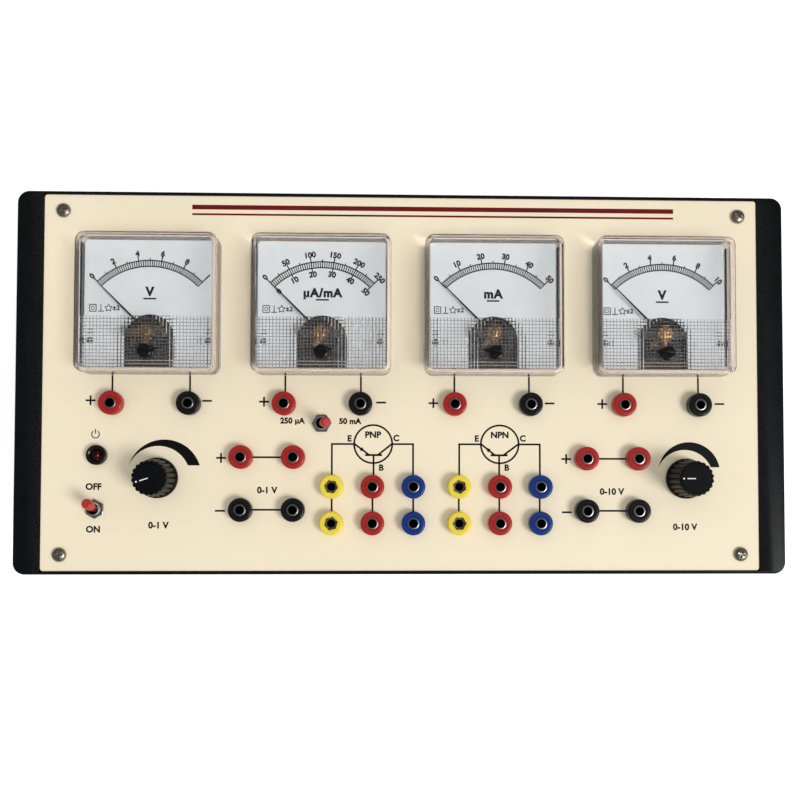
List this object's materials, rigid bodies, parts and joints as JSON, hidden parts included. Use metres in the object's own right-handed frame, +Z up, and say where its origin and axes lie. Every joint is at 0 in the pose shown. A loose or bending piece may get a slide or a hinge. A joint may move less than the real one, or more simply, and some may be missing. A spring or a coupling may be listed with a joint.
{
  "type": "transistor characteristics trainer",
  "caption": "Bench trainer for plotting transistor characteristics: moulded case with a printed panel, panel meters, 4 mm sockets, voltage knobs and toggle switches.",
  "frame": {"origin": "on the table under the middle of the case", "axes": "+X to the right across the panel as its user reads it, +Y towards the meters and the rear wall, +Z up through the panel"},
  "size_m": [0.365, 0.1813, 0.0866],
  "materials": {
    "case_black": "moulded, fine spark texture",
    "panel_cream": "satin printed laminate",
    "meter_clear": "clear polished, lower window prismatic",
    "meter_dial": "matt white with printed scale",
    "meter_phenolic": "moulded",
    "meter_needle": "black painted",
    "screw_steel": "zinc plated",
    "switch_chrome": "plated",
    "cap_red": "soft gloss",
    "socket_red": "gloss moulded",
    "socket_black": "gloss moulded",
    "socket_yellow": "gloss moulded",
    "socket_blue": "gloss moulded",
    "knob_black": "fluted, satin",
    "control_steel": "plated",
    "bezel_black": "gloss moulded",
    "lens_red": "tinted clear",
    "grommet_rubber": "matt",
    "transformer_steel": "varnished laminations",
    "board_brown": "phenolic board with soldered parts"
  },
  "bodies": {
    "case": {"case_tub": "case_black", "front_panel": "panel_cream", "cord_grommet": "grommet_rubber", "mains_transformer": "transformer_steel", "circuit_board": "board_brown", "lamp_holder": "bezel_black", "lamp_lens": "lens_red", "panel_screw_1": "screw_steel", "panel_screw_2": "screw_steel", "panel_screw_3": "screw_steel", "panel_screw_4": "screw_steel", "base_voltmeter_cover": "meter_clear", "base_voltmeter_housing": "meter_phenolic", "base_voltmeter_dial": "meter_dial", "base_voltmeter_red_socket": "socket_red", "base_voltmeter_black_socket": "socket_black", "base_ammeter_cover": "meter_clear", "base_ammeter_housing": "meter_phenolic", "base_ammeter_dial": "meter_dial", "base_ammeter_red_socket": "socket_red", "base_ammeter_black_socket": "socket_black", "collector_ammeter_cover": "meter_clear", "collector_ammeter_housing": "meter_phenolic", "collector_ammeter_dial": "meter_dial", "collector_ammeter_red_socket": "socket_red", "collector_ammeter_black_socket": "socket_black", "collector_voltmeter_cover": "meter_clear", "collector_voltmeter_housing": "meter_phenolic", "collector_voltmeter_dial": "meter_dial", "collector_voltmeter_red_socket": "socket_red", "collector_voltmeter_black_socket": "socket_black", "output_low_red_pair": "socket_red", "output_low_black_pair": "socket_black", "output_high_red_pair": "socket_red", "output_high_black_pair": "socket_black", "pnp_emitter_pair": "socket_yellow", "pnp_base_pair": "socket_red", "pnp_collector_pair": "socket_blue", "npn_emitter_pair": "socket_yellow", "npn_base_pair": "socket_red", "npn_collector_pair": "socket_blue", "power_switch_body": "switch_chrome", "range_switch_body": "switch_chrome", "low_voltage_potentiometer": "control_steel", "high_voltage_potentiometer": "control_steel"},
    "base_voltmeter_movement": {"base_voltmeter_pointer": "meter_needle"},
    "base_voltmeter_zero": {"base_voltmeter_zero_screw": "bezel_black"},
    "base_ammeter_movement": {"base_ammeter_pointer": "meter_needle"},
    "base_ammeter_zero": {"base_ammeter_zero_screw": "bezel_black"},
    "collector_ammeter_movement": {"collector_ammeter_pointer": "meter_needle"},
    "collector_ammeter_zero": {"collector_ammeter_zero_screw": "bezel_black"},
    "collector_voltmeter_movement": {"collector_voltmeter_pointer": "meter_needle"},
    "collector_voltmeter_zero": {"collector_voltmeter_zero_screw": "bezel_black"},
    "low_voltage_control": {"low_voltage_knob": "knob_black"},
    "high_voltage_control": {"high_voltage_knob": "knob_black"},
    "power_switch_toggle": {"power_switch_lever": "switch_chrome", "power_switch_cap": "cap_red"},
    "range_switch_toggle": {"range_switch_lever": "switch_chrome", "range_switch_cap": "cap_red"}
  },
  "joints": [
    {"name": "base_voltmeter_pointer_turn", "type": "hinge", "parent": "case", "child": "base_voltmeter_movement", "pos_m": [-0.11893, 0.02229, 0.0694], "axis": [0, 0, 1], "range_deg": [-93, 2]},
    {"name": "base_voltmeter_zero_turn", "type": "hinge", "parent": "case", "child": "base_voltmeter_zero", "pos_m": [-0.11893, 0.01299, 0.0694], "axis": [0, 0, 1], "range_deg": [-90, 90]},
    {"name": "base_ammeter_pointer_turn", "type": "hinge", "parent": "case", "child": "base_ammeter_movement", "pos_m": [-0.03839, 0.02229, 0.0694], "axis": [0, 0, 1], "range_deg": [-93, 2]},
    {"name": "base_ammeter_zero_turn", "type": "hinge", "parent": "case", "child": "base_ammeter_zero", "pos_m": [-0.03839, 0.01299, 0.0694], "axis": [0, 0, 1], "range_deg": [-90, 90]},
    {"name": "collector_ammeter_pointer_turn", "type": "hinge", "parent": "case", "child": "collector_ammeter_movement", "pos_m": [0.04215, 0.02229, 0.0694], "axis": [0, 0, 1], "range_deg": [-93, 2]},
    {"name": "collector_ammeter_zero_turn", "type": "hinge", "parent": "case", "child": "collector_ammeter_zero", "pos_m": [0.04215, 0.01299, 0.0694], "axis": [0, 0, 1], "range_deg": [-90, 90]},
    {"name": "collector_voltmeter_pointer_turn", "type": "hinge", "parent": "case", "child": "collector_voltmeter_movement", "pos_m": [0.12269, 0.02229, 0.0694], "axis": [0, 0, 1], "range_deg": [-93, 2]},
    {"name": "collector_voltmeter_zero_turn", "type": "hinge", "parent": "case", "child": "collector_voltmeter_zero", "pos_m": [0.12269, 0.01299, 0.0694], "axis": [0, 0, 1], "range_deg": [-90, 90]},
    {"name": "low_voltage_turn", "type": "hinge", "parent": "case", "child": "low_voltage_control", "pos_m": [-0.11529, -0.04515, 0.0694], "axis": [0, 0, 1], "range_deg": [-258, 42]},
    {"name": "high_voltage_turn", "type": "hinge", "parent": "case", "child": "high_voltage_control", "pos_m": [0.13437, -0.04515, 0.0694], "axis": [0, 0, 1], "range_deg": [-240, 60]},
    {"name": "power_switch_tilt", "type": "hinge", "parent": "case", "child": "power_switch_toggle", "pos_m": [-0.14435, -0.05969, 0.0704], "axis": [1, 0, 0], "range_deg": [0, 26]},
    {"name": "range_switch_tilt", "type": "hinge", "parent": "case", "child": "range_switch_toggle", "pos_m": [-0.03866, -0.01934, 0.0704], "axis": [0, -1, 0], "range_deg": [0, 26]}
  ]
}
